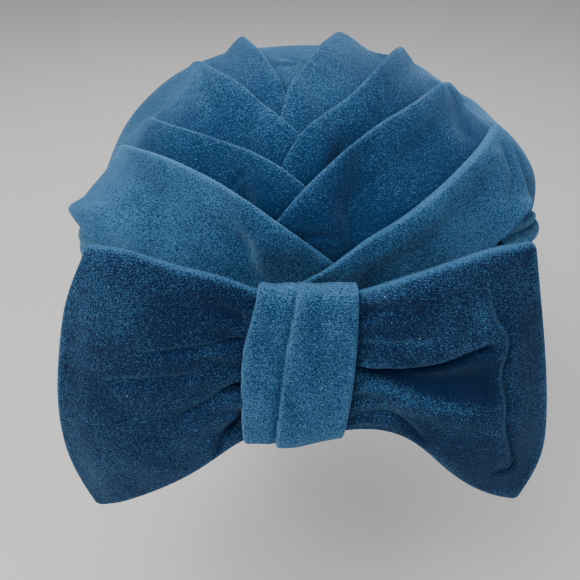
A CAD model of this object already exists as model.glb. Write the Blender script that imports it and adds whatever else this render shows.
import math
import bpy
import numpy as np
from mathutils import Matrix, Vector


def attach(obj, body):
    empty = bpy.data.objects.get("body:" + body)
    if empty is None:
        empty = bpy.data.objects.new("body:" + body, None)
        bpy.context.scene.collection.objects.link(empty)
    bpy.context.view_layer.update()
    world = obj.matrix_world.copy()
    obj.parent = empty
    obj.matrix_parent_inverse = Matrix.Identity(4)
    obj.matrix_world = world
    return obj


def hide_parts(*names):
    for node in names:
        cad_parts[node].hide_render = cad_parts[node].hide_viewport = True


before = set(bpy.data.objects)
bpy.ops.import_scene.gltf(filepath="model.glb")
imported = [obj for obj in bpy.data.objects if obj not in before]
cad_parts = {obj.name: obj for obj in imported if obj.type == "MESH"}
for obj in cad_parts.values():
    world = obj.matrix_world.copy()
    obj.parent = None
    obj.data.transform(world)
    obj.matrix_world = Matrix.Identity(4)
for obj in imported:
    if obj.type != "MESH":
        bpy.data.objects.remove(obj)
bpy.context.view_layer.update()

# Lengths are in millimetres up to the moment a mesh is made; metres after that

print("camera")
cameraSettings = {
    "place": (-0.0047, -0.3203, 0.2249),
    "pitchDown": 35.0,
    "lens": 42.2,
    "sensor": 36.0,
}


def makeCamera(settings):
    bpy.ops.object.select_all(action="DESELECT")
    tilt = math.radians(90 - settings["pitchDown"])
    bpy.ops.object.camera_add(location=settings["place"], rotation=(tilt, 0, 0))
    camera = bpy.context.object
    camera.name = "viewCamera"
    camera.data.lens = settings["lens"]
    camera.data.sensor_width = settings["sensor"]
    camera.data.clip_start = 0.01
    bpy.context.scene.camera = camera


makeCamera(cameraSettings)

# Small helpers for smooth shapes

def ramp(start, end, value):
    t = np.clip((value - start) / (end - start), 0, 1)
    return t * t * (3 - 2 * t)


def mix(a, b, t):
    return a + (b - a) * t


def bell(value):
    return np.exp(-value ** 2)


def unit(vectors):
    return vectors / np.linalg.norm(vectors, axis=-1, keepdims=True)


def quarterRound(share):
    # Rises from 0 to 1 as a rounded edge does
    return np.sqrt(1 - (1 - np.clip(share, 0, 1)) ** 2)


def rowValue(rows, column, share):
    # A soft curve through a column of a table, at a share from 0 to 1 of its
    # length, with the ends kept
    values = np.array([row[column] for row in rows], float)
    places = np.linspace(0, 1, len(values))

    def straight(t):
        inside = np.interp(t, places, values)
        inside = np.where(t < 0, 2 * values[0] - np.interp(-t, places, values), inside)
        return np.where(t > 1, 2 * values[-1] - np.interp(2 - t, places, values), inside)

    reach = 0.9 / (len(values) - 1)
    offsets = np.linspace(-reach, reach, 9)
    weights = 1 - np.abs(offsets) / (reach * 1.12)
    return sum(w * straight(share + d) for w, d in zip(weights, offsets)) / weights.sum()


def waves(seed, along, across, longWaves, shortWaves, count=7):
    # Soft random swells: few along the cloth, more across it, about -1 to 1
    rng = np.random.default_rng(seed)
    total = np.zeros(np.broadcast(along, across).shape)
    for _ in range(count):
        a = rng.uniform(0.2, 1) * longWaves
        b = rng.uniform(0.3, 1) * shortWaves * rng.choice([-1, 1])
        total += rng.uniform(0.5, 1) * np.sin(2 * np.pi * (a * along + b * across) + rng.uniform(0, 6.28))
    return total / count ** 0.5 / 0.8


def splinePoints(rows, shares):
    # Centripetal spline through the rows, read at shares of its length
    points = np.array(rows, float)
    points = np.vstack([2 * points[0] - points[1], points, 2 * points[-1] - points[-2]])
    dense = []
    steps = np.linspace(0, 1, 41)[:, None]
    for i in range(1, len(points) - 2):
        p0, p1, p2, p3 = points[i - 1:i + 3]
        d0, d1, d2 = [max(np.linalg.norm(b - a) ** 0.5, 1e-6) for a, b in ((p0, p1), (p1, p2), (p2, p3))]
        t1 = ((p1 - p0) / d0 - (p2 - p0) / (d0 + d1) + (p2 - p1) / d1) * d1
        t2 = ((p2 - p1) / d1 - (p3 - p1) / (d1 + d2) + (p3 - p2) / d2) * d1
        c2 = -3 * p1 + 3 * p2 - 2 * t1 - t2
        c3 = 2 * p1 - 2 * p2 + t1 + t2
        part = p1 + t1 * steps + c2 * steps ** 2 + c3 * steps ** 3
        dense.append(part if i == len(points) - 3 else part[:-1])
    dense = np.vstack(dense)
    length = np.concatenate([[0], np.cumsum(np.linalg.norm(np.diff(dense, axis=0), axis=1))])
    wanted = np.asarray(shares) * length[-1]
    return np.stack([np.interp(wanted, length, dense[:, k]) for k in range(dense.shape[1])], axis=-1)


def stroke(path, width, height, fadeIn=0.15, fadeOut=0.3):
    # A crease (negative height) or ridge (positive) along a short path. Its
    # width and height are one number, or one at the start and one at the end,
    # and it fades over a share of its length at each end
    width, height = (v if isinstance(v, tuple) else (v, v) for v in (width, height))
    return {"path": path, "width": width, "height": height, "fadeIn": fadeIn, "fadeOut": fadeOut}


def strokeField(flatX, flatY, strokes):
    # Height of all the strokes together over a flat chart
    height = np.zeros(flatX.shape)
    for mark in strokes:
        path = splinePoints(mark["path"], np.linspace(0, 1, 41))
        best = np.full(flatX.shape, 1e9)
        along = np.zeros(flatX.shape)
        for k in range(len(path) - 1):
            a, b = path[k], path[k + 1]
            step = b - a
            t = np.clip(((flatX - a[0]) * step[0] + (flatY - a[1]) * step[1]) / max(step @ step, 1e-9), 0, 1)
            away = np.hypot(flatX - a[0] - t * step[0], flatY - a[1] - t * step[1])
            nearer = away < best
            best = np.where(nearer, away, best)
            along = np.where(nearer, (k + t) / (len(path) - 1), along)
        width = mix(mark["width"][0], mark["width"][1], along)
        deep = mix(mark["height"][0], mark["height"][1], along)
        fade = ramp(0, mark["fadeIn"], along + 1e-6)
        fade = fade * (1 - ramp(1 - mark["fadeOut"], 1, along))
        height += deep * fade * bell(best / width)
    return height


# Meshes from grids of points

def shellFaces(columns, rows, joined):
    index = np.arange(columns * rows * 2).reshape(2, columns, rows)
    if joined:
        index = np.concatenate([index, index[:, :1]], axis=1)
    out, back = index
    quads = []

    def add(a, b, c, d):
        quads.append(np.stack([x.ravel() for x in (a, b, c, d)], axis=1))

    add(out[:-1, :-1], out[1:, :-1], out[1:, 1:], out[:-1, 1:])
    add(back[:-1, :-1], back[:-1, 1:], back[1:, 1:], back[1:, :-1])
    add(out[:-1, 0], back[:-1, 0], back[1:, 0], out[1:, 0])
    add(out[:-1, -1], out[1:, -1], back[1:, -1], back[:-1, -1])
    if not joined:
        add(out[0, :-1], out[0, 1:], back[0, 1:], back[0, :-1])
        add(out[-1, :-1], back[-1, :-1], back[-1, 1:], out[-1, 1:])
    return np.vstack(quads)


def outwardFaces(points, faces):
    total = 0.0
    for corners in ((0, 1, 2), (0, 2, 3)):
        a, b, c = (points[faces[:, k]] for k in corners)
        total += np.einsum("ij,ij->i", a, np.cross(b, c)).sum()
    return faces if total > 0 else faces[:, ::-1]


def makePiece(name, outer, inner, nap, insideNap, clothCoords, joined=False, poles=False):
    # A shell between two grids of points, with its nap and its flat coordinates
    columns, rows = outer.shape[:2]
    points = np.concatenate([outer.reshape(-1, 3), inner.reshape(-1, 3)])
    faces = shellFaces(columns, rows, joined)
    napValues = np.concatenate([nap.ravel(), np.full(nap.size, insideNap)])
    flat = np.concatenate([clothCoords.reshape(-1, 2)] * 2)
    triangles = []
    if poles:
        # The last row is a small ring round the crown's top: a fan closes it
        lastRing = np.isin(faces % rows, [rows - 1]).all(axis=1)
        faces = faces[~lastRing]
        for layer, grid in enumerate((outer, inner)):
            top = len(points)
            points = np.vstack([points, grid[:, -1].mean(axis=0)])
            napValues = np.append(napValues, (nap[0, -1], insideNap)[layer])
            flat = np.vstack([flat, flat[rows - 1]])
            for c in range(columns):
                a = layer * columns * rows + c * rows + rows - 1
                b = layer * columns * rows + ((c + 1) % columns) * rows + rows - 1
                triangles.append((a, b, top) if layer == 0 else (b, a, top))
    turned = outwardFaces(points, faces)
    if turned is not faces:
        triangles = [face[::-1] for face in triangles]
    mesh = bpy.data.meshes.new(name)
    mesh.from_pydata((points * 0.001).tolist(), [], turned.tolist() + [tuple(f) for f in triangles])
    mesh.update()
    mesh.shade_smooth()
    napLayer = mesh.attributes.new("nap", "FLOAT", "POINT")
    napLayer.data.foreach_set("value", napValues.astype(np.float32))
    clothLayer = mesh.uv_layers.new(name="cloth")
    corners = np.empty(len(mesh.loops), dtype=np.int32)
    mesh.loops.foreach_get("vertex_index", corners)
    clothLayer.data.foreach_set("uv", (flat[corners] * 0.001).astype(np.float32).ravel())
    piece = bpy.data.objects.new(name, mesh)
    bpy.context.scene.collection.objects.link(piece)
    return piece


def finishPiece(piece, node, material):
    piece.data.materials.append(material)
    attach(piece, "root")
    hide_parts(node)


# Velvet

def newGroup(name, inputs, outputs):
    group = bpy.data.node_groups.new(name, "ShaderNodeTree")
    for label, kind in inputs:
        group.interface.new_socket(name=label, in_out="INPUT", socket_type=kind)
    for label, kind in outputs:
        group.interface.new_socket(name=label, in_out="OUTPUT", socket_type=kind)
    return group, group.nodes.new("NodeGroupInput"), group.nodes.new("NodeGroupOutput")


def mathNode(tree, operation, a, b, clamp=False):
    node = tree.nodes.new("ShaderNodeMath")
    node.operation = operation
    node.use_clamp = clamp
    for socket, value in zip(node.inputs, (a, b)):
        if isinstance(value, (int, float)):
            socket.default_value = value
        else:
            tree.links.new(value, socket)
    return node.outputs[0]


def setInputs(node, values):
    for label, value in values.items():
        node.inputs[label].default_value = value


def noiseNode(tree, vector, scale, detail=2.0, roughness=0.5):
    node = tree.nodes.new("ShaderNodeTexNoise")
    tree.links.new(vector, node.inputs["Vector"])
    if isinstance(scale, (int, float)):
        node.inputs["Scale"].default_value = scale
    else:
        tree.links.new(scale, node.inputs["Scale"])
    setInputs(node, {"Detail": detail, "Roughness": roughness})
    return node.outputs["Fac"]


def mixColour(tree, factor, a, b):
    node = tree.nodes.new("ShaderNodeMix")
    node.data_type = "RGBA"
    tree.links.new(factor, node.inputs["Factor"])
    for socket, value in ((node.inputs["A"], a), (node.inputs["B"], b)):
        if isinstance(value, tuple):
            socket.default_value = value
        else:
            tree.links.new(value, socket)
    return node.outputs["Result"]


# Scales are per metre, shares are of the way from the deep colour to the bright
pileLook = {
    "streakScale": 420.0, "streakShare": 0.35, "grainScale": 1800.0, "grainShare": 3.5,
    "lintScale": 170.0, "lintSize": 0.045, "lintPatches": 60.0, "lintSeldom": 0.6, "lintShow": 0.5,
    "lintColour": (0.5, 0.62, 0.72, 1), "roughness": 0.92, "brightGloss": 0.12,
}


def pileGroup(look):
    # Short pile: brushed patches, a fine grain and a few specks of lint
    group, source, result = newGroup(
        "velvetPile",
        [("Vector", "NodeSocketVector"), ("Deep", "NodeSocketColor"), ("Bright", "NodeSocketColor"),
         ("Nap", "NodeSocketFloat"), ("Mottle", "NodeSocketFloat"), ("Patch Scale", "NodeSocketFloat")],
        [("Colour", "NodeSocketColor"), ("Roughness", "NodeSocketFloat"), ("Height", "NodeSocketFloat")],
    )
    vector = source.outputs["Vector"]

    def swing(noise, amount):
        return mathNode(group, "MULTIPLY", mathNode(group, "SUBTRACT", noise, 0.5), amount)

    patches = noiseNode(group, vector, source.outputs["Patch Scale"], 4.0, 0.6)
    streaks = noiseNode(group, vector, look["streakScale"], 2.0)
    grain = noiseNode(group, vector, look["grainScale"], 1.0)
    brushed = swing(patches, source.outputs["Mottle"])
    finer = swing(streaks, look["streakShare"])
    lift = mathNode(group, "ADD", mathNode(group, "ADD", brushed, finer), swing(grain, look["grainShare"]))
    factor = mathNode(group, "ADD", source.outputs["Nap"], lift, clamp=True)
    pile = mixColour(group, factor, source.outputs["Deep"], source.outputs["Bright"])
    lint = group.nodes.new("ShaderNodeTexVoronoi")
    setInputs(lint, {"Scale": look["lintScale"]})
    group.links.new(vector, lint.inputs["Vector"])
    near = mathNode(group, "LESS_THAN", lint.outputs["Distance"], look["lintSize"])
    patchNoise = noiseNode(group, vector, look["lintPatches"], 1.0)
    seldom = mathNode(group, "GREATER_THAN", patchNoise, look["lintSeldom"])
    speck = mathNode(group, "MULTIPLY", mathNode(group, "MULTIPLY", near, seldom), look["lintShow"])
    colour = mixColour(group, speck, pile, look["lintColour"])
    gloss = mathNode(group, "MULTIPLY", factor, look["brightGloss"])
    rough = mathNode(group, "SUBTRACT", look["roughness"], gloss)
    group.links.new(colour, result.inputs["Colour"])
    group.links.new(rough, result.inputs["Roughness"])
    group.links.new(grain, result.inputs["Height"])
    return group


def rowsGroup():
    # Knitted ground showing through the pile as fine rows
    group, source, result = newGroup(
        "knitRows",
        [("Vector", "NodeSocketVector"), ("Scale", "NodeSocketFloat")],
        [("Height", "NodeSocketFloat")],
    )
    rows = group.nodes.new("ShaderNodeTexWave")
    rows.bands_direction = "Y"
    setInputs(rows, {"Distortion": 2.2, "Detail": 2.0, "Detail Scale": 0.6})
    group.links.new(source.outputs["Vector"], rows.inputs["Vector"])
    group.links.new(source.outputs["Scale"], rows.inputs["Scale"])
    group.links.new(rows.outputs["Fac"], result.inputs["Height"])
    return group


pileNodes = pileGroup(pileLook)
knitRows = rowsGroup()

# Deep colour where the pile faces the eye, bright where it lies over
velvets = {
    "crownVelvet": {
        "deep": (0.002, 0.036, 0.10), "bright": (0.060, 0.17, 0.30), "mottle": 1.2, "patch": 30.0,
        "rows": 0.2, "sheen": 0.7,
    },
    "casingVelvet": {
        "deep": (0.004, 0.036, 0.09), "bright": (0.060, 0.16, 0.27), "mottle": 1.0, "patch": 40.0,
        "rows": 0.2, "sheen": 0.7,
    },
    "foldVelvet": {
        "deep": (0.0008, 0.024, 0.080), "bright": (0.045, 0.145, 0.285), "mottle": 1.3, "patch": 26.0,
        "rows": 0.12, "sheen": 0.6,
    },
    "bowVelvet": {
        "deep": (0.0003, 0.0095, 0.041), "bright": (0.032, 0.112, 0.228), "mottle": 1.4, "patch": 30.0,
        "rows": 0.28, "sheen": 0.27,
    },
    "knotVelvet": {
        "deep": (0.001, 0.028, 0.090), "bright": (0.055, 0.165, 0.31), "mottle": 1.2, "patch": 34.0,
        "rows": 0.25, "sheen": 0.55,
    },
}
rowPitch = 0.0011  # metres from one knitted row to the next


def velvetMaterial(name, velvet):
    material = bpy.data.materials.new(name)
    material.use_nodes = True
    tree = material.node_tree
    tree.nodes.clear()
    link = tree.links.new
    shader = tree.nodes.new("ShaderNodeBsdfPrincipled")
    output = tree.nodes.new("ShaderNodeOutputMaterial")
    link(shader.outputs[0], output.inputs[0])
    coords = tree.nodes.new("ShaderNodeTexCoord")
    napValue = tree.nodes.new("ShaderNodeAttribute")
    napValue.attribute_name = "nap"
    surface = tree.nodes.new("ShaderNodeGroup")
    surface.node_tree = pileNodes
    link(coords.outputs["Object"], surface.inputs["Vector"])
    link(napValue.outputs["Fac"], surface.inputs["Nap"])
    setInputs(surface, {
        "Deep": velvet["deep"] + (1,), "Bright": velvet["bright"] + (1,),
        "Mottle": velvet["mottle"], "Patch Scale": velvet["patch"],
    })
    ground = tree.nodes.new("ShaderNodeGroup")
    ground.node_tree = knitRows
    link(coords.outputs["UV"], ground.inputs["Vector"])
    # At a scale of 1 the wave's bands lie a tenth of pi apart
    setInputs(ground, {"Scale": 0.1 * math.pi / rowPitch})
    rowHeight = mathNode(tree, "MULTIPLY", ground.outputs["Height"], velvet["rows"])
    height = mathNode(tree, "ADD", surface.outputs["Height"], rowHeight)
    bump = tree.nodes.new("ShaderNodeBump")
    setInputs(bump, {"Strength": 0.8, "Distance": 0.0006})
    link(height, bump.inputs["Height"])
    link(surface.outputs["Colour"], shader.inputs["Base Color"])
    link(surface.outputs["Roughness"], shader.inputs["Roughness"])
    link(bump.outputs["Normal"], shader.inputs["Normal"])
    setInputs(shader, {
        "Sheen Weight": velvet["sheen"], "Sheen Roughness": 0.35, "Sheen Tint": (0.24, 0.50, 0.80, 1),
        "Specular IOR Level": 0.15,
    })
    return material


print("velvets")
velvetOf = {name: velvetMaterial(name, settings) for name, settings in velvets.items()}

# Form of the crown's skin

crown = {
    "widestLevel": 52, "halfWidth": 109, "front": 83, "back": 112, "rise": 78, "wall": 2,
    "openingHalfWidth": 80, "openingFront": 100, "openingBack": 96,
    "rimFront": -3, "rimBack": -14, "squareness": 2.3, "frontTaper": 0.95,
    "fullness": 11, "slack": 12, "ease": 0.5,
    "fullest": (62, 76, 18), "slackest": (80, -60, 22),
}
crownCentre = np.array([0, 0, crown["widestLevel"]], float)
frontDrop = crown["widestLevel"] - crown["rimFront"]
frontLean = crown["openingFront"] - crown["frontTaper"] * crown["front"]


def lowerHalfAxis(reach, opening, drop):
    n = crown["squareness"]
    return drop / (1 - (opening / reach) ** n) ** (1 / n)


sideLower = lowerHalfAxis(crown["halfWidth"], crown["openingHalfWidth"], crown["widestLevel"])
frontLower = lowerHalfAxis(1, crown["frontTaper"], frontDrop)
backLower = lowerHalfAxis(crown["back"], crown["openingBack"], crown["widestLevel"] - crown["rimBack"])


def wrapDirection(rise, across):
    r, a = np.radians(rise), np.radians(across)
    return np.stack([np.sin(a) * np.ones_like(r), -np.cos(a) * np.cos(r), np.cos(a) * np.sin(r)], axis=-1)


def swell(direction, spot):
    middle = wrapDirection(np.array(float(spot[0])), np.array(float(spot[1])))
    away = np.degrees(np.arccos(np.clip(direction @ middle, -1, 1))) / spot[2]
    return np.exp(-away ** 2)


def frontAndBack(direction):
    flat = np.hypot(direction[..., 0], direction[..., 1]) + 1e-9
    return np.clip(-direction[..., 1] / flat, 0, 1) ** 2, np.clip(direction[..., 1] / flat, 0, 1) ** 2


def crownRadius(direction):
    n = crown["squareness"]
    ahead, behind = frontAndBack(direction)
    lower = 1 / (ahead / frontLower + behind / backLower + (1 - ahead - behind) / sideLower)
    depth = np.where(direction[..., 1] < 0, crown["front"], crown["back"])
    height = np.where(direction[..., 2] > 0, crown["rise"], lower)
    total = (np.abs(direction[..., 0]) / crown["halfWidth"]) ** n
    total += (np.abs(direction[..., 1]) / depth) ** n + (np.abs(direction[..., 2]) / height) ** n
    swelling = crown["fullness"] * swell(direction, crown["fullest"])
    return total ** (-1 / n) + swelling - crown["slack"] * swell(direction, crown["slackest"])


def onCrown(direction, raised):
    points = direction * (crownRadius(direction) + raised)[..., None]
    ahead, _ = frontAndBack(points)
    points[..., 1] -= frontLean * ahead * np.maximum(0, -points[..., 2] / frontDrop)
    return points + crownCentre


def turnedDirection(turn, tilt):
    return np.stack([np.sin(turn) * np.cos(tilt), -np.cos(turn) * np.cos(tilt), np.sin(tilt)], axis=-1)


def levelDirection(turn, level):
    # Direction to the crown's skin at a turn round from the front and a level
    turn, level = np.broadcast_arrays(np.radians(turn), np.asarray(level, float))
    low, high = np.full(turn.shape, -80.0), np.full(turn.shape, 80.0)
    for _ in range(40):
        middle = (low + high) / 2
        direction = turnedDirection(turn, np.radians(middle))
        under = direction[..., 2] * crownRadius(direction) < level - crown["widestLevel"]
        low, high = np.where(under, middle, low), np.where(under, high, middle)
    return turnedDirection(turn, np.radians(low))


def rimLevel(turn):
    cosine = np.cos(np.radians(turn))
    return np.clip(cosine, 0, 1) ** 2 * crown["rimFront"] + np.clip(-cosine, 0, 1) ** 2 * crown["rimBack"]


# Heights of what already lies on the crown, so that each layer of cloth
# rests on the ones below it

chart = {"step": 0.75, "rise": (-60.0, 133.5), "across": (-84.0, 84.0), "reach": 4, "ease": 2}
cells = [math.ceil((chart[k][1] - chart[k][0]) / chart["step"]) + 2 for k in ("rise", "across")]
laid = np.full(cells, float(crown["ease"]))


def mapPlace(rise, across):
    r = np.clip((rise - chart["rise"][0]) / chart["step"], 0, cells[0] - 2.001)
    a = np.clip((across - chart["across"][0]) / chart["step"], 0, cells[1] - 2.001)
    return r, a


def layDown(rise, across, height):
    r, a = mapPlace(rise, across)
    r, a = np.floor(r).astype(int).ravel(), np.floor(a).astype(int).ravel()
    values = np.broadcast_to(height, rise.shape).ravel()
    for dr in (0, 1):
        for da in (0, 1):
            np.maximum.at(laid, (r + dr, a + da), values)


def blurred(values, reach, combine):
    for axis in (0, 1):
        pad = [(0, 0), (0, 0)]
        pad[axis] = (reach, reach)
        wide = np.pad(values, pad, mode="edge")
        count = values.shape[axis]
        stack = [np.take(wide, range(k, k + count), axis=axis) for k in range(2 * reach + 1)]
        values = combine(np.stack(stack), axis=0)
    return values


def drapedMap():
    grown = blurred(laid, chart["reach"], np.max)
    return blurred(blurred(grown, chart["ease"], np.mean), chart["ease"], np.mean)


def readMap(values, rise, across):
    r, a = mapPlace(rise, across)
    i, j = np.floor(r).astype(int), np.floor(a).astype(int)
    near = mix(values[i, j], values[i, j + 1], a - j)
    far = mix(values[i + 1, j], values[i + 1, j + 1], a - j)
    return mix(near, far, r - i)


def chartOf(direction):
    across = np.degrees(np.arcsin(np.clip(direction[..., 0], -1, 1)))
    rise = np.degrees(np.arctan2(direction[..., 2], -direction[..., 1]))
    return rise, across


print("crown")
crownCloth = {
    "columns": 300, "rows": 96, "topShare": 0.985,
    "pleats": 46, "pleatDepth": 3.6, "pleatFoot": 8, "pleatTop": 74.0, "pleatSides": (70, 95),
    "softness": 0.5, "nap": 0.3, "creaseNap": 0.10, "topNap": 0.03, "frontShade": 0.16, "insideNap": 0.1,
    "flat": (0.38, 0.38), "flatArea": 0.1134,
}
# Soft ridges that carry the folds on over the back of the bag: degrees across
# to the side, then degrees up and over from the front
bagRidges = [
    [(-17, 100), (-20, 122), (-26, 146)],
    [(11, 102), (15, 124), (17, 150)],
    [(-31, 90), (-40, 110), (-50, 134)],
    [(30, 100), (38, 118), (46, 140)],
    [(-46, 70), (-60, 88), (-70, 112)],
    [(43, 82), (56, 98), (66, 122)],
    [(57, 80), (64, 64), (70, 50), (73, 36)],
]
bagRidge = {"width": (3.2, 8.0), "height": (2.6, 0.6), "fadeIn": 0.2, "fadeOut": 0.6}
# A deeper line in the nap beside the last of them
bagShade = stroke([(54, 80), (60, 62), (66, 46), (68, 34)], 3.5, -0.45, fadeIn=0.2, fadeOut=0.1)


def makeCrown(bag):
    columns, rows = bag["columns"], bag["rows"]
    turn = np.arange(columns) / columns * 360
    rim = levelDirection(turn, rimLevel(turn))
    rimTilt = np.degrees(np.arcsin(rim[:, 2]))
    share = (np.linspace(0, 1, rows + 1) * bag["topShare"])[None, :]
    tilt = np.radians(mix(rimTilt[:, None], 90, share))
    t = np.radians(turn)[:, None]
    direction = turnedDirection(t, tilt)
    level = direction[..., 2] * crownRadius(direction) + crown["widestLevel"]
    # Pleats run up from the gathered casing and die out over the bag; their
    # places drift and their depths differ round the head
    drift = 0.9 * np.sin(3 * t + 0.4) + 0.5 * np.sin(7 * t + 2) + 0.018 * level * np.sin(5 * t)
    pleat = 0.5 - 0.5 * np.cos(t * bag["pleats"] + drift * 2)
    strength = 0.55 + 0.45 * np.sin(9 * t + 1) * np.sin(4 * t)
    behind = ramp(*bag["pleatSides"], 180 - np.abs(180 - turn))[:, None]
    fade = (1 - ramp(bag["pleatFoot"], bag["pleatTop"], level)) * behind
    gather = -bag["pleatDepth"] * pleat * strength * fade
    slack = bag["softness"] * (waves(3, t / 6.283 * 4, level / 60, 1.5, 1.6) - 1.2)
    slack = np.minimum(0, slack) * ramp(0.0, 0.3, share)
    rise, across = chartOf(direction)
    ridges = strokeField(across, rise, [stroke(path, **bagRidge) for path in bagRidges])
    height = gather + slack + ridges
    layDown(rise, across, crown["ease"] + np.where(ridges > 0.05, ridges, 0))
    outer = onCrown(direction, height)
    inner = onCrown(direction, height - crown["wall"])
    nap = bag["nap"] + bag["creaseNap"] * np.clip(height, -2.5, 2)
    nap = nap + bag["topNap"] * ramp(70, 125, level)
    overFolds = bell(across / 26) * ramp(50, 80, rise) * (1 - ramp(112, 135, rise))
    nap = nap - bag["frontShade"] * overFolds + strokeField(across, rise, [bagShade])
    cloth = np.stack([np.broadcast_to(t * 100, level.shape), level], axis=-1)
    return makePiece("crownBag", outer, inner, nap, bag["insideNap"], cloth, joined=True, poles=True)


crownBag = makeCrown(crownCloth)
finishPiece(crownBag, "crown_cap", velvetOf["crownVelvet"])

print("casing")
# The route is degrees round from the front, then the level as a share of the
# crown's widest level
casingCloth = {
    "route": [
        (-61, 1.45), (-66, 1.18), (-72, 0.85), (-82, 0.45), (-98, 0.16), (-125, 0.04), (-150, -0.02),
        (-180, -0.03), (-210, -0.02), (-235, 0.04), (-262, 0.16), (-280, 0.45), (-288, 0.85),
        (-294, 1.18), (-299, 1.45),
    ],
    "width": 26, "wall": 1.6, "crest": 7.2, "pitch": 12.5, "gap": 0.4, "smallest": 0.65,
    "runOut": 16, "endWidth": 0.35, "endCrest": 0.1, "steepest": 2.2,
    "columnsEach": 18, "rows": 34, "chartAcross": 80, "chartRise": (-56, 129),
    "nap": 0.12, "crestNap": 0.55, "insideNap": 0.1,
    "flat": (0.032, 0.56),
}


def makeCasing(strip):
    turns = np.array([row[0] for row in strip["route"]], float)
    levels = np.array([row[1] for row in strip["route"]]) * crown["widestLevel"]
    rows3d = onCrown(levelDirection(turns, levels), np.zeros(len(turns)))
    length = np.linalg.norm(np.diff(splinePoints(rows3d, np.linspace(0, 1, 400)), axis=0), axis=1).sum()
    ruffles = round(length / strip["pitch"])
    along = np.linspace(0, 1, ruffles * strip["columnsEach"] + 1)
    middle = splinePoints(rows3d, along)
    forward = unit(np.gradient(middle, axis=0))
    out = unit(middle - crownCentre)
    sideways = unit(np.cross(out, forward))
    share = np.linspace(0, 1, strip["rows"] + 1)
    fromEnd = np.minimum(along, 1 - along) * length
    ending = ramp(-2, strip["runOut"], fromEnd)[:, None]
    offset = (share - 0.5) * strip["width"] * mix(strip["endWidth"], 1, ending)
    points = middle[:, None] + sideways[:, None] * offset[..., None]
    direction = unit(points - crownCentre)
    rng = np.random.default_rng(11)
    phase = along * ruffles + 0.16 * np.sin(along * 37) + 0.12 * np.sin(along * 83 + 1)
    # Where the casing climbs to the hems its rolls lie level, not across it
    level = unit(np.cross([0, 0, 1], out))
    slope = np.einsum("ij,ij->i", forward, level) / np.einsum("ij,ij->i", sideways, level)
    climbing = ramp(0.3, 0.62, np.abs(forward[:, 2]))
    slope = np.clip(slope, -strip["steepest"], strip["steepest"])
    shear = -climbing * slope * ruffles * strip["width"] / length
    bend = (0.35 * np.sin(along * 29) + shear)[:, None] * (share - 0.5)[None, :]
    bend = bend + 0.1 * np.sin(share * 7)[None, :]
    roll = np.abs(np.sin(np.pi * (phase[:, None] + bend))) ** 0.9
    each = rng.uniform(strip["smallest"], 1.0, ruffles + 3)
    size = each[np.clip(np.floor(phase).astype(int) + 1, 0, ruffles + 2)]
    size = np.convolve(np.pad(size, 6, mode="edge"), np.ones(13) / 13, mode="valid")[:, None]
    edge = np.clip(np.sin(np.pi * mix(0.01, 0.99, share)), 0, 1)[None, :] ** 0.35
    thin = 0.45 + 0.55 * edge
    ruffle = strip["crest"] * (0.04 + 0.96 * roll * size) * edge * mix(strip["endCrest"], 1, ending)
    height = strip["gap"] + strip["wall"] * thin + ruffle
    outer = onCrown(direction, height)
    inner = onCrown(direction, np.full(height.shape, float(strip["gap"])))
    rise, across = chartOf(direction)
    lowest, highest = strip["chartRise"]
    seen = (np.abs(across) < strip["chartAcross"]) & (rise > lowest) & (rise < highest)
    for dr in (-2, -1, 0, 1, 2):
        for da in (-1, 0, 1):
            layDown(rise[seen] + dr * chart["step"], across[seen] + da * chart["step"], height[seen])
    nap = strip["nap"] + strip["crestNap"] * roll * edge
    cloth = np.stack(np.broadcast_arrays(share * strip["width"], along[:, None] * length), axis=-1)
    return makePiece("gatheredCasing", outer, inner, nap, strip["insideNap"], cloth)


gatheredCasing = makeCasing(casingCloth)
finishPiece(gatheredCasing, "gathered_casing", velvetOf["casingVelvet"])

print("folds")
# A fold's upper edge from its inner end at the front to its outer end over
# the crown: degrees across to the side, then degrees up from the front
foldEdges = {
    "left_4": [(-1, 57), (-4, 63), (-6, 71), (-10, 82), (-16, 100), (-18, 110)],
    "right_4": [(-8, 49), (-6, 54), (-4, 63), (-1, 72), (4, 86), (10, 104), (13, 112)],
    "left_3": [(4, 43), (0, 48), (-8, 56), (-16, 66), (-24, 76), (-30, 88), (-34, 96)],
    "right_3": [(-9, 34), (-6, 38), (0, 48), (15, 64), (24, 82), (29, 98), (32, 108)],
    "left_2": [(5, 29), (1, 34), (-10, 42), (-18, 46), (-27, 51), (-40, 60), (-49, 74)],
    "right_2": [(-9, 22), (-6, 26), (1, 34), (18, 50), (31, 63), (39, 76), (45, 88)],
    "left_1": [(11, 12), (7, 16), (-3, 24), (-18, 34), (-31, 42), (-49, 54), (-60, 67)],
    "right_1": [(-5, 5), (0, 10), (10, 17), (29, 29), (46, 48), (53, 62), (55, 69)],
    "left_hem": [(11, -29), (2, -31), (-14, -30), (-30, -22), (-42, -4), (-56, 18), (-69, 29)],
    "right_hem": [(-9, -29), (0, -31), (14, -30), (30, -22), (43, -4), (55, 17), (64.5, 35)],
}
foldCloth = {
    "columns": 170, "rows": 64, "wall": 1.4, "thinnest": 0.45, "gap": 0.4, "tuck": 6, "innerTuck": 3,
    "roll": 2.0, "rollWidth": 11.0, "rim": 1.7, "endRim": 1.4, "hemRim": 1.2, "lift": 7, "pleatRound": 4.5,
    "corner": 15.0, "hemCorner": 4.0, "cornerCut": 0.6, "unevenness": 0.35, "softness": 0.22,
    # How a fold that has no hem runs on over the bag and sinks into it
    "extend": 9.0, "melt": 30.0, "sink": 2.5, "sinkReach": 15, "bagNap": 0.3, "napMelt": 18,
    "insideNap": 0.15,
}
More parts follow.
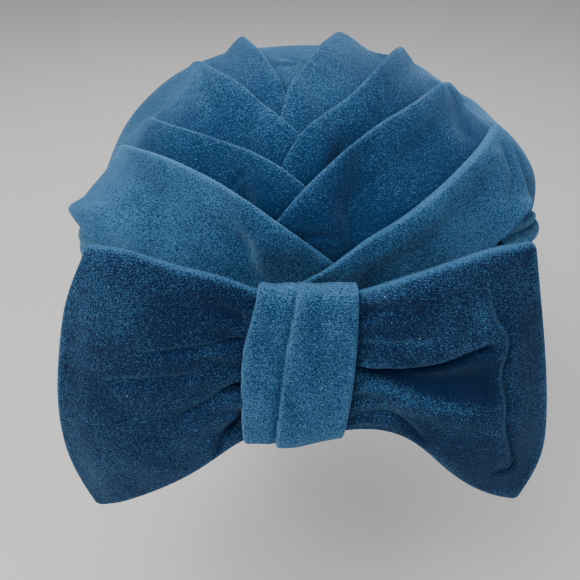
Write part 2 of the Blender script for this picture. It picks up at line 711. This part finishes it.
# Each fold, lowest first: what its lower edge tucks under, its share of the
# lift, how far its hem flares and its outer end stands off, how bright its nap
# is at the inner and outer ends, its flat size in metres, and its creases and
# ridges on the chart in degrees
folds = {
    "left_4": {"below": "left_3", "lift": 0.8, "nap": (0.22, 0.38), "flat": (0.051, 0.048), "strokes": []},
    "right_4": {"below": "right_3", "lift": 1.0, "nap": (0.24, 0.28), "flat": (0.052, 0.07), "strokes": []},
    "left_3": {"below": "left_2", "lift": 0.5, "nap": (0.14, 0.38), "flat": (0.052, 0.07), "strokes": [
        stroke([(-29, 84), (-24, 62), (-19, 50)], (0.9, 1.0), (-1.1, -0.7)),
        stroke([(-31, 82), (-27, 62), (-22, 50)], 2.5, (1.2, 0.6)),
        stroke([(-38, 72), (-32, 62), (-29, 52)], 4, (-1.0, -0.7)),
    ]},
    "right_3": {"below": "right_2", "lift": 0.85, "nap": (0.05, 0.16), "flat": (0.045, 0.085), "strokes": []},
    "left_2": {"below": "left_1", "lift": 0.1, "nap": (-0.04, 0.20), "flat": (0.038, 0.08), "strokes": [
        stroke([(-20, 32), (-16, 37), (-11, 37)], 1.0, (-1.0, -0.8), fadeIn=0.1),
        stroke([(-20, 30), (-15, 35), (-10, 35)], 2.2, (1.0, 0.6), fadeIn=0.1),
    ]},
    "right_2": {"below": "right_1", "lift": 0.1, "nap": (-0.1, 0.26), "flat": (0.049, 0.11), "strokes": [
        stroke([(42, 80), (45, 70), (45, 58), (46, 50)], (2.2, 3.2), -1.0),
        stroke([(38, 78), (40, 66), (40, 54), (40, 46)], (2.6, 3.2), (1.1, 0.7)),
        stroke([(-3, 21), (4, 22), (11, 21)], 0.9, -0.9),
        stroke([(22, 46), (27, 34), (26, 26)], (5, 6), 0.3),
    ]},
    "left_1": {"below": "left_hem", "lift": 0, "flare": 6, "flareFrom": 0.2, "nap": (0.18, 0.74),
               "flat": (0.09, 0.115), "strokes": [
        stroke([(-50, 46), (-42, 34), (-34, 20)], (5, 7), (-0.9, -0.6)),
        stroke([(-56, 34), (-50, 24), (-40, 12)], (4, 6), (0.9, 0.6)),
        stroke([(-30, 36), (-22, 24), (-16, 10)], (6, 8), 0.3),
    ]},
    "right_1": {"below": "right_hem", "lift": 0, "flare": 0.5, "endLift": 1.6, "nap": (0.05, 0.62),
                "flat": (0.074, 0.11), "strokes": [
        stroke([(53, 58), (58, 44), (57, 30), (55, 20)], (0.9, 1.2), (-0.9, -0.7)),
        stroke([(50, 54), (54, 42), (53, 30), (50, 20)], (2.4, 3), (0.9, 0.6)),
        stroke([(44, 44), (47, 34), (45, 24)], (3, 4), (-0.7, -0.6)),
    ]},
}


def foldOutline(name, fold, sheet, u, seed):
    # Upper and lower edge on the chart, and how far each place along the upper
    # edge is from the outer end
    start = splinePoints(foldEdges[name], u)
    end = splinePoints(foldEdges[fold["below"]], u)
    hemmed = fold["below"].endswith("hem")
    if not hemmed:
        end[:, 1] -= mix(sheet["innerTuck"], sheet["tuck"], u)
    # A fold's edge is never quite even
    start[:, 1] += sheet["unevenness"] * waves(seed, u, 0 * u, 3, 0) * ramp(0.15, 0.4, u)
    if not hemmed:
        for edge in (start, end):
            onward = edge[-1] - edge[-8]
            edge += sheet["extend"] * ramp(0.55, 1, u)[:, None] * (onward / np.linalg.norm(onward))
    start3d = onCrown(wrapDirection(start[:, 1], start[:, 0]), np.zeros(len(u)))
    fromOuter = np.linalg.norm(np.diff(start3d, axis=0), axis=1)[::-1].cumsum()[::-1]
    fromOuter = np.append(fromOuter, 0)
    corner = sheet["hemCorner" if hemmed else "corner"]
    near = np.clip(1 - fromOuter / corner, 0, 1)
    start[:, 1] -= corner * (1 - np.sqrt(1 - near ** 2)) * sheet["cornerCut"]
    return start, end, fromOuter


def makeFold(name, fold, sheet, seed):
    hemmed = fold["below"].endswith("hem")
    u = np.linspace(0, 1, sheet["columns"] + 1)
    v = np.linspace(0, 1, sheet["rows"] + 1) ** 1.6  # closer rows at the upper edge
    start, end, fromOuter = foldOutline(name, fold, sheet, u, seed)
    outward = fromOuter[:, None]
    across = mix(start[:, None, 0], end[:, None, 0], v[None])
    rise = mix(start[:, None, 1], end[:, None, 1], v[None])
    uGrid, vGrid = np.broadcast_arrays(u[:, None], v[None])
    direction = wrapDirection(rise, across)
    bare = onCrown(direction, np.zeros(rise.shape))
    steps = np.linalg.norm(np.diff(bare, axis=1), axis=-1)
    fromEdge = np.concatenate([np.zeros((len(u), 1)), np.cumsum(steps, axis=1)], axis=1)
    toEnd = fromEdge[:, -1:] - fromEdge
    opened = ramp(0.1, 0.64, uGrid) * (1 - ramp(0.74, 0.98, uGrid))
    lift = sheet["lift"] * fold["lift"] * opened * (1 - vGrid) ** 1.25
    flareFrom = fold.get("flareFrom", 0.6)
    hem = fold.get("flare", 0) * ramp(flareFrom, 1, uGrid) * ramp(0.1, 0.85, vGrid)
    hem = hem + fold.get("endLift", 0) * ramp(0.82, 1, uGrid) * ramp(0, 0.3, vGrid)
    # A lifted edge is a full soft pleat, so its underside stays down
    under = readMap(drapedMap(), rise, across) + sheet["gap"] + hem
    pleat = lift * quarterRound(fromEdge / sheet["pleatRound"])
    kept = 1.0
    if not hemmed:
        under = under - sheet["sink"] * (1 - ramp(0, sheet["sinkReach"], outward))
        kept = mix(0.25, 1, ramp(0, sheet["melt"], outward))
    thick = mix(0.3, 1, ramp(0.1, 0.6, uGrid))
    roll = sheet["roll"] * thick * kept * bell(fromEdge / sheet["rollWidth"])
    rim = quarterRound(fromEdge / sheet["rim"])
    rim = rim * (0.2 + 0.8 * quarterRound(outward / sheet["endRim"]))
    if hemmed:
        rim = rim * (0.25 + 0.75 * quarterRound(toEnd / sheet["hemRim"]))
    soft = sheet["softness"] * waves(seed + 50, uGrid, fromEdge / 40, 1.6, 2.2) * ramp(0, 3, fromEdge)
    marks = strokeField(across, rise, fold["strokes"])
    relief = (soft + marks) * (kept if hemmed else mix(0.3, 1, kept))
    body = np.maximum(sheet["thinnest"], sheet["wall"] * kept + roll + relief)
    top = under + 0.15 + (body - 0.15) * rim + pleat
    outer = onCrown(direction, top)
    inner = onCrown(direction, under)
    layDown(rise, across, top)
    edgeLight = 0.6 * np.exp(-fromEdge / 1.4) + 0.1 * np.exp(-fromEdge / 7)
    if hemmed:
        shade = 0.35 * np.exp(-toEnd / 1.4) + 0.45 * np.exp(-outward / 1.3)
    else:
        shade = -0.5 * np.exp(-toEnd / 12)
    nap = mix(fold["nap"][0], fold["nap"][1], uGrid) + edgeLight + shade
    nap = nap + 0.08 * soft + 0.14 * np.clip(marks, -1.5, 1)
    if not hemmed:
        nap = mix(sheet["bagNap"], nap, ramp(0, sheet["napMelt"], outward))
    cloth = np.stack([uGrid * 120, fromEdge], axis=-1)
    return makePiece("fold_" + name, outer, inner, nap, sheet["insideNap"], cloth)


foldPieces = {}
for number, (name, fold) in enumerate(folds.items()):
    foldPieces[name] = makeFold(name, fold, foldCloth, 20 + number)
    finishPiece(foldPieces[name], "wrap_" + name, velvetOf["foldVelvet"])

print("bow")
bow = {
    "level": 39, "lean": 8, "reach": {"left": 107, "right": 108}, "endHeight": 130, "neckHeight": 68,
    "neckDepth": 8, "loopDepth": 15, "edgeDepth": 3.4, "bend": 10, "neckTop": 0.51, "endTop": 0.41,
    "topRise": {"left": 4.5, "right": 4.6}, "cornerDrop": {"left": 0.65, "right": 0.55},
    "riseBy": {"left": 0.4, "right": 0.75}, "dropFrom": 0.75,
    "cornerRound": 4.5, "gap": 0.4, "knotFront": 115.32, "back": 104.72,
    "pillowSquareness": 3.5, "pillowRound": 0.6, "endFrom": 0.84, "endFlat": 0.85,
    "softness": 0.45, "seed": {"left": 70, "right": 90}, "fadeAtRim": 6,
    "gather": 0.9, "gathers": 7, "gatherTo": (26, 52), "backShare": 0.35,
    "nap": 0.03, "rimNap": 1.05, "edgeNap": 0.13, "insideNap": 0.3,
    "columns": 150, "rows": 130,
}
lean = math.radians(bow["lean"])
bowUp = np.array([0, math.sin(lean), math.cos(lean)])
bowOut = np.array([0, -math.cos(lean), math.sin(lean)])


def onBow(x, up, out):
    bend = bow["bend"] * (x / bow["reach"]["right"]) ** 2
    points = np.stack([x, np.zeros_like(x), np.full_like(x, bow["level"])], axis=-1)
    points += bowUp * (up - bow["knotFront"] * math.tan(lean))[..., None]
    return points + bowOut * (out - bend)[..., None]


# How far a loop's top edge, the left loop's bottom edge and the right loop's
# bottom edge have spread, and how full it is, from the knot to its end
stationColumn = {"top": 0, "left": 1, "right": 2, "full": 3}
loopStations = [
    (0, 0, 0, 0), (0, 0, -0.03, 0), (0, 0.04, -0.07, 0), (0.2, 0.27, -0.07, 0.55), (0.36, 0.49, 0.1, 0.85),
    (0.52, 0.665, 0.45, 1), (0.7, 0.83, 0.715, 0.95), (0.88, 0.985, 0.9, 0.8), (1, 1.085, 1.03, 0.5),
]
# Reach of the left and right loops' ends from bottom corner to top corner
endColumn = {"left": 0, "right": 1}
loopEnd = [(0.9, 0.95), (0.985, 1.03), (1, 1.01), (0.98, 0.975), (0.935, 0.93), (0.885, 0.88), (0.775, 0.83)]
# Creases and ridges in the loops: paths by share out from the knot's middle
# and share up the loop
loopStrokes = {
    "left": [
        stroke([(0.18, 0.735), (0.45, 0.707), (0.68, 0.683)], (1.3, 1.5), (-2.6, -1.8), fadeOut=0.2),
        stroke([(0.18, 0.67), (0.45, 0.65), (0.7, 0.64)], (4, 7), (1.3, 0.6), fadeOut=0.4),
        stroke([(0.36, 0.565), (0.55, 0.572), (0.82, 0.56)], (1.4, 1.8), (-1.8, -1.6), fadeOut=0.3),
        stroke([(0.2, 0.52), (0.45, 0.505), (0.82, 0.5)], (5, 9), (1.6, 1.2), fadeOut=0.4),
        stroke([(0.18, 0.455), (0.25, 0.43), (0.373, 0.378), (0.56, 0.32)],
               (1.8, 2.6), (-4.6, -2.0), fadeOut=0.5),
        stroke([(0.2, 0.36), (0.36, 0.28), (0.56, 0.2)], (5, 9), (2.2, 1.2), fadeOut=0.4),
        stroke([(0.2, 0.25), (0.25, 0.18), (0.343, 0.08), (0.38, -0.02)],
               (1.8, 2.5), (-4.0, -3), fadeOut=0.3),
        stroke([(0.2, 0.87), (0.38, 0.85), (0.62, 0.87)], (3, 8), (-1.0, -0.5), fadeOut=0.5),
        stroke([(0.8, 0.96), (0.86, 0.7), (0.88, 0.45), (0.82, 0.15)], 8, -0.8),
    ],
    "right": [
        stroke([(0.2, 0.688), (0.38, 0.672), (0.54, 0.69)], (1.3, 1.6), (-2.2, -1.3), fadeOut=0.35),
        stroke([(0.2, 0.58), (0.4, 0.57), (0.54, 0.65), (0.74, 0.76)], (5, 8), (3.0, 1.6), fadeOut=0.4),
        stroke([(0.18, 0.5), (0.393, 0.48), (0.537, 0.562), (0.667, 0.652), (0.8, 0.7)],
               (1.6, 2.0), (-5.0, -3.4), fadeIn=0.02, fadeOut=0.1),
        stroke([(0.2, 0.475), (0.37, 0.42), (0.54, 0.46), (0.667, 0.53), (0.79, 0.56)],
               (2, 12), (-5.0, -4.4), fadeOut=0.1),
        stroke([(0.2, 0.4), (0.373, 0.3), (0.533, 0.29), (0.787, 0.34)], (3.5, 7), (3.2, 1.8), fadeOut=0.3),
        stroke([(0.26, 0.21), (0.38, 0.14), (0.47, 0.075), (0.52, 0.03)],
               (1.3, 1.8), (-2.2, -1.8), fadeIn=0.35, fadeOut=0.3),
        stroke([(0.76, 0.95), (0.79, 0.82), (0.835, 0.71), (0.795, 0.577), (0.81, 0.44),
                (0.805, 0.34), (0.835, 0.24), (0.87, 0.15), (0.76, 0.1)],
               1.2, -2.0, fadeIn=0.12, fadeOut=0.1),
        stroke([(0.73, 0.95), (0.75, 0.82), (0.79, 0.71), (0.755, 0.577),
                (0.77, 0.44), (0.765, 0.34), (0.79, 0.24), (0.82, 0.14)],
               2.6, 1.2, fadeIn=0.12, fadeOut=0.1),
        stroke([(0.2, 0.87), (0.4, 0.85), (0.66, 0.87)], (3, 8), (-1.0, -0.5), fadeOut=0.5),
    ],
}
# Where the nap shows brighter (positive) or deeper (negative) along the creases
loopTones = {
    "left": [
        stroke([(0.18, 0.747), (0.45, 0.719), (0.68, 0.695)], (1.1, 1.2), (0.55, 0.5), fadeOut=0.2),
        stroke([(0.36, 0.577), (0.55, 0.584), (0.82, 0.572)], (1.2, 1.4), 0.45, fadeOut=0.25),
        stroke([(0.18, 0.475), (0.25, 0.45), (0.373, 0.398), (0.5, 0.35)],
               (1.8, 4), (0.55, 0.3), fadeOut=0.4),
        stroke([(0.2, 0.36), (0.36, 0.25), (0.6, 0.2)], (5, 12), 0.12, fadeOut=0.4),
        stroke([(0.25, 0.87), (0.5, 0.87), (0.72, 0.88)], (11, 18), (-0.14, -0.2)),
        stroke([(0.84, 0.93), (0.9, 0.82), (0.93, 0.7)], 4, 0.12),
        stroke([(0.86, 0.62), (0.84, 0.4), (0.82, 0.25)], 12, -0.1),
    ],
    "right": [
        stroke([(0.2, 0.7), (0.38, 0.685), (0.54, 0.705)], 1.2, 0.6, fadeOut=0.15),
        stroke([(0.2, 0.54), (0.393, 0.517), (0.537, 0.6), (0.667, 0.69), (0.8, 0.735)],
               (2.2, 1.6), (0.34, 0.3), fadeIn=0.05, fadeOut=0.1),
        stroke([(0.2, 0.478), (0.37, 0.43), (0.54, 0.47), (0.667, 0.54), (0.79, 0.57)],
               (2, 13), (-0.4, -0.44), fadeOut=0.06),
        stroke([(0.2, 0.47), (0.373, 0.352), (0.533, 0.345), (0.76, 0.395)],
               (2.2, 3.2), (0.5, 0.4), fadeIn=0.05, fadeOut=0.2),
        stroke([(0.76, 0.95), (0.78, 0.82), (0.822, 0.71), (0.782, 0.577),
                (0.797, 0.44), (0.792, 0.34), (0.822, 0.24), (0.857, 0.15)],
               0.8, (0.5, 0.45), fadeIn=0.05, fadeOut=0.1),
        stroke([(0.3, 0.1), (0.55, 0.1), (0.75, 0.17), (0.86, 0.3)], (7, 13), (-0.2, -0.3), fadeOut=0.15),
        stroke([(0.93, 0.85), (0.92, 0.5), (0.93, 0.2)], 6, -0.14),
        stroke([(0.7, 0.9), (0.72, 0.83), (0.76, 0.74)], 3, 0.3, fadeIn=0.4, fadeOut=0.4),
    ],
}


def loopPlace(side, p, q, arch=1):
    # Place on the bow of a share out from the knot's middle and a share up
    reach = bow["reach"][side] * rowValue(loopEnd, endColumn[side], q)
    x = bow["gap"] / 2 + (reach - bow["gap"] / 2) * p
    neck, end = bow["neckHeight"], bow["endHeight"]
    spread = rowValue(loopStations, stationColumn["top"], p)
    top = mix(neck * bow["neckTop"], end * bow["endTop"], spread)
    rise = bow["topRise"][side] * (1 - bow["cornerDrop"][side] * ramp(bow["dropFrom"], 1, p))
    top = top + arch * rise * ramp(0.05, bow["riseBy"][side], p)
    spread = rowValue(loopStations, stationColumn[side], p)
    drop = mix(neck * (1 - bow["neckTop"]), end * (1 - bow["endTop"]), spread)
    # Corners are rounded as a turned-out seam leaves them
    corner = bow["cornerRound"]
    near = np.clip((x - (reach - corner)) / corner, 0, 1)
    cut = corner * (1 - np.sqrt(1 - near ** 2))
    return x, mix(-drop + cut, top - cut, q)


def placedStrokes(side, strokes):
    # The paths' shares are of the loop before its top edge arches up
    placed = []
    for mark in strokes:
        places = [loopPlace(side, np.array(out), np.array(up), 0) for out, up in mark["path"]]
        path = [(float(x), float(up)) for x, up in places]
        placed.append({**mark, "path": path})
    return placed


def makeLoop(side):
    sign = -1 if side == "left" else 1
    # Columns lie closer at the loop's end, rows closer at both edges
    p = 1 - (1 - np.linspace(0, 1, bow["columns"] + 1)) ** 1.35
    q = 0.5 - 0.5 * np.cos(np.pi * np.linspace(0, 1, bow["rows"] + 1))
    p, q = np.meshgrid(p, q, indexing="ij")
    x, up = loopPlace(side, p, q)
    edgeX = loopPlace(side, np.ones_like(p), q)[0]
    bottom = loopPlace(side, p, np.zeros_like(q))[1]
    top = loopPlace(side, p, np.ones_like(q))[1]
    inset = np.minimum(np.minimum(up - bottom, top - up), edgeX - x)
    half = bow["edgeDepth"] / 2
    rim = half * quarterRound(inset / half)
    full = mix(bow["neckDepth"], bow["loopDepth"], rowValue(loopStations, stationColumn["full"], p))
    pillow = np.clip(1 - np.abs(2 * q - 1) ** bow["pillowSquareness"], 0, 1) ** bow["pillowRound"]
    endFade = 1 - ramp(bow["endFrom"], 1, p) * bow["endFlat"]
    fullness = (full / 2 - half) * pillow * endFade
    middle = bow["back"] + full / 2
    seed = bow["seed"][side]
    marks = strokeField(x, up, placedStrokes(side, loopStrokes[side]))
    tones = strokeField(x, up, placedStrokes(side, loopTones[side]))
    clear = ramp(0, bow["fadeAtRim"], inset)
    soft = bow["softness"] * waves(seed, x / 110, up / 120, 2.2, 3.2, 9) * clear
    outside = ramp(knot["width"] / 2 - 4, knot["width"] / 2 + 3, x)
    # Small gathers fan out of the knot
    fan = np.sin(2 * np.pi * (q * bow["gathers"] + 0.4 * np.sin(p * 9 + seed)))
    gather = bow["gather"] * fan * outside * (1 - ramp(*bow["gatherTo"], x))
    front = rim + fullness + (marks + soft + gather) * clear * outside
    back = -(rim + fullness) + bow["backShare"] * (soft + gather) * outside * clear
    front = np.maximum(front, back + 0.8 * rim)
    outer = onBow(x * sign, up, middle + front)
    inner = onBow(x * sign, up, middle + back)
    edgeLight = bow["rimNap"] * np.exp(-inset / 1.1) + bow["edgeNap"] * np.exp(-inset / 7)
    nap = bow["nap"] + edgeLight + 0.12 * soft + 0.05 * np.clip(marks, -5, 2) + 0.08 * gather + tones
    cloth = np.stack([x, up], axis=-1)
    return makePiece("bowLoop_" + side, outer, inner, nap, bow["insideNap"], cloth)


knot = {
    "width": 43, "offset": -1.5, "wall": 2.2, "slack": 0.9, "gap": 0.4, "round": 0.45,
    "lean": 0.05, "bulge": 1.5, "topInset": 4.0, "rightRise": 0.13, "backShare": 0.75,
    "lapFrom": 0.37, "lapLean": 0.05, "lapStep": 1.8, "lapRound": 1.4, "lapFullness": 0.35, "lapCrease": 0.5,
    "rim": 1.8, "edgeRoll": 0.55, "edgeRollWidth": 4.5, "barrel": 0.7, "softness": 0.28,
    "nap": 0.32, "edgeNap": 0.5, "lapNap": 0.4, "lapShade": 0.25, "turnNap": 0.25, "insideNap": 0.1,
    "columns": 160, "stations": 90,
    "flat": (0.045, 0.19),
}
loopPieces = {}
for side in ("left", "right"):
    loopPieces[side] = makeLoop(side)
    finishPiece(loopPieces[side], "bow_" + side, velvetOf["bowVelvet"])

print("knot")


def makeKnot(band):
    half = bow["neckHeight"] / 2 + band["slack"]
    depth = bow["neckDepth"] / 2 + band["gap"]
    outMiddle = bow["back"] + bow["neckDepth"] / 2
    upMiddle = bow["neckHeight"] * (bow["neckTop"] - 0.5)
    # The ring starts and ends at its hidden back
    turn = np.linspace(0, 2 * np.pi, band["columns"], endpoint=False) + np.pi
    c, s = np.cos(turn)[:, None], np.sin(turn)[:, None]
    share = np.linspace(0, 1, band["stations"] + 1)[None, :]
    along = share * band["width"]
    edge = np.minimum(along, band["width"] - along)
    cosPart = np.sign(c) * np.abs(c) ** band["round"]
    sinPart = np.sign(s) * np.abs(s) ** band["round"]
    facing = ramp(0.0, 0.35, c)
    upNow = sinPart * (half + band["wall"])
    # The wide lap lies over the narrow one along a slanting edge
    lapLine = band["lapFrom"] * band["width"] + band["lapLean"] * upNow
    past = along - lapLine
    onLap, belowLap = past > 0, past < 0
    lap = quarterRound(past / band["lapRound"]) * (1 + band["lapFullness"] * bell(past / 5) * onLap)
    crease = band["lapCrease"] * bell(past / 1.6) * belowLap
    rim = quarterRound(edge / band["rim"])
    soft = band["softness"] * waves(5, upNow / 90, along / 43, 1.1, 3.0) * ramp(0, 4, edge)
    roll = band["edgeRoll"] * bell(edge / band["edgeRollWidth"])
    barrel = band["barrel"] * (1 - (2 * share - 1) ** 2)
    wall = band["wall"] * (0.35 + 0.65 * rim) + (soft + roll + barrel - crease) * rim
    front = band["lapStep"] * lap * facing * rim

    # Its sides bow out a little, and its lower right corner sits higher
    bulge = 1 - (upNow / half) ** 2 * 0.9
    side = band["bulge"] * bulge * (2 * share - 1)
    side = side + band["topInset"] * ramp(0.1, 1.05, sinPart) * (1 - share) ** 2
    shorter = 1 - band["rightRise"] * ramp(0.45, 1, share) * ramp(0, -0.6, sinPart)

    def ring(wallNow, frontNow):
        up = sinPart * (half + wallNow) * shorter
        out = cosPart * (depth + wallNow * np.where(c < 0, band["backShare"], 1)) + frontNow
        x = band["offset"] - band["width"] / 2 + along + band["lean"] * up + side
        return onBow(x, upMiddle + up, outMiddle + out)

    outer = ring(wall, front)
    inner = ring(wall * 0, front * 0)
    nap = band["nap"] + band["edgeNap"] * np.exp(-edge / 1.4)
    nap = nap + band["lapNap"] * np.exp(-np.abs(past) / 1.3) * onLap * facing
    nap = nap - band["lapShade"] * np.exp(-np.abs(past) / 2.0) * belowLap * facing + 0.2 * soft
    nap = nap + band["turnNap"] * ramp(0.75, 1.0, np.abs(sinPart)) * (c > 0)
    cloth = np.stack(np.broadcast_arrays(along, upNow), axis=-1)
    return makePiece("knotBand", outer, inner, nap, band["insideNap"], cloth, joined=True)


knotBand = makeKnot(knot)
finishPiece(knotBand, "bow_knot", velvetOf["knotVelvet"])


def clothArea(piece):
    return sum(face.area for face in piece.data.polygons) / 2


print("sheets")
for piece in [crownBag, gatheredCasing, *foldPieces.values(), knotBand]:
    print("  one side of", piece.name, round(clothArea(piece) * 1e4, 1), "cm2")

print("floor and light")
stageSettings = {
    "floorLevel": -0.17, "floorSize": 9.0, "floorColour": (0.62, 0.60, 0.57), "floorRoughness": 0.9,
    "sky": (0.86, 0.9, 1.0), "skyStrength": 0.45, "lightsAim": (0, 0, 0.05),
}
lights = {
    "keyLeft": {"place": (-0.55, -0.55, 0.95), "size": 0.7, "power": 15, "colour": (1.0, 0.97, 0.92)},
    "fillRight": {"place": (0.8, -0.7, 0.6), "size": 0.9, "power": 4, "colour": (0.92, 0.96, 1.0)},
    "topBack": {"place": (-0.15, 0.55, 1.0), "size": 0.8, "power": 9, "colour": (0.95, 0.98, 1.0)},
}


def makeStage(settings):
    bpy.ops.object.select_all(action="DESELECT")
    bpy.ops.mesh.primitive_plane_add(size=settings["floorSize"], location=(0, 0, settings["floorLevel"]))
    floor = bpy.context.object
    floor.name = "paleFloor"
    material = bpy.data.materials.new("floorPaint")
    material.use_nodes = True
    shader = material.node_tree.nodes["Principled BSDF"]
    setInputs(shader, {"Base Color": settings["floorColour"] + (1,), "Roughness": settings["floorRoughness"]})
    floor.data.materials.append(material)
    world = bpy.data.worlds.new("softSky")
    bpy.context.scene.world = world
    world.use_nodes = True
    sky = world.node_tree.nodes["Background"]
    setInputs(sky, {"Color": settings["sky"] + (1,), "Strength": settings["skyStrength"]})


def makeLight(name, settings):
    bpy.ops.object.select_all(action="DESELECT")
    bpy.ops.object.light_add(type="AREA", location=settings["place"])
    lamp = bpy.context.object
    lamp.name = name
    lamp.data.size = settings["size"]
    lamp.data.energy = settings["power"]
    lamp.data.color = settings["colour"]
    aim = Vector(stageSettings["lightsAim"]) - Vector(settings["place"])
    lamp.rotation_euler = aim.to_track_quat("-Z", "Y").to_euler()


makeStage(stageSettings)
for lightName, lightSettings in lights.items():
    makeLight(lightName, lightSettings)
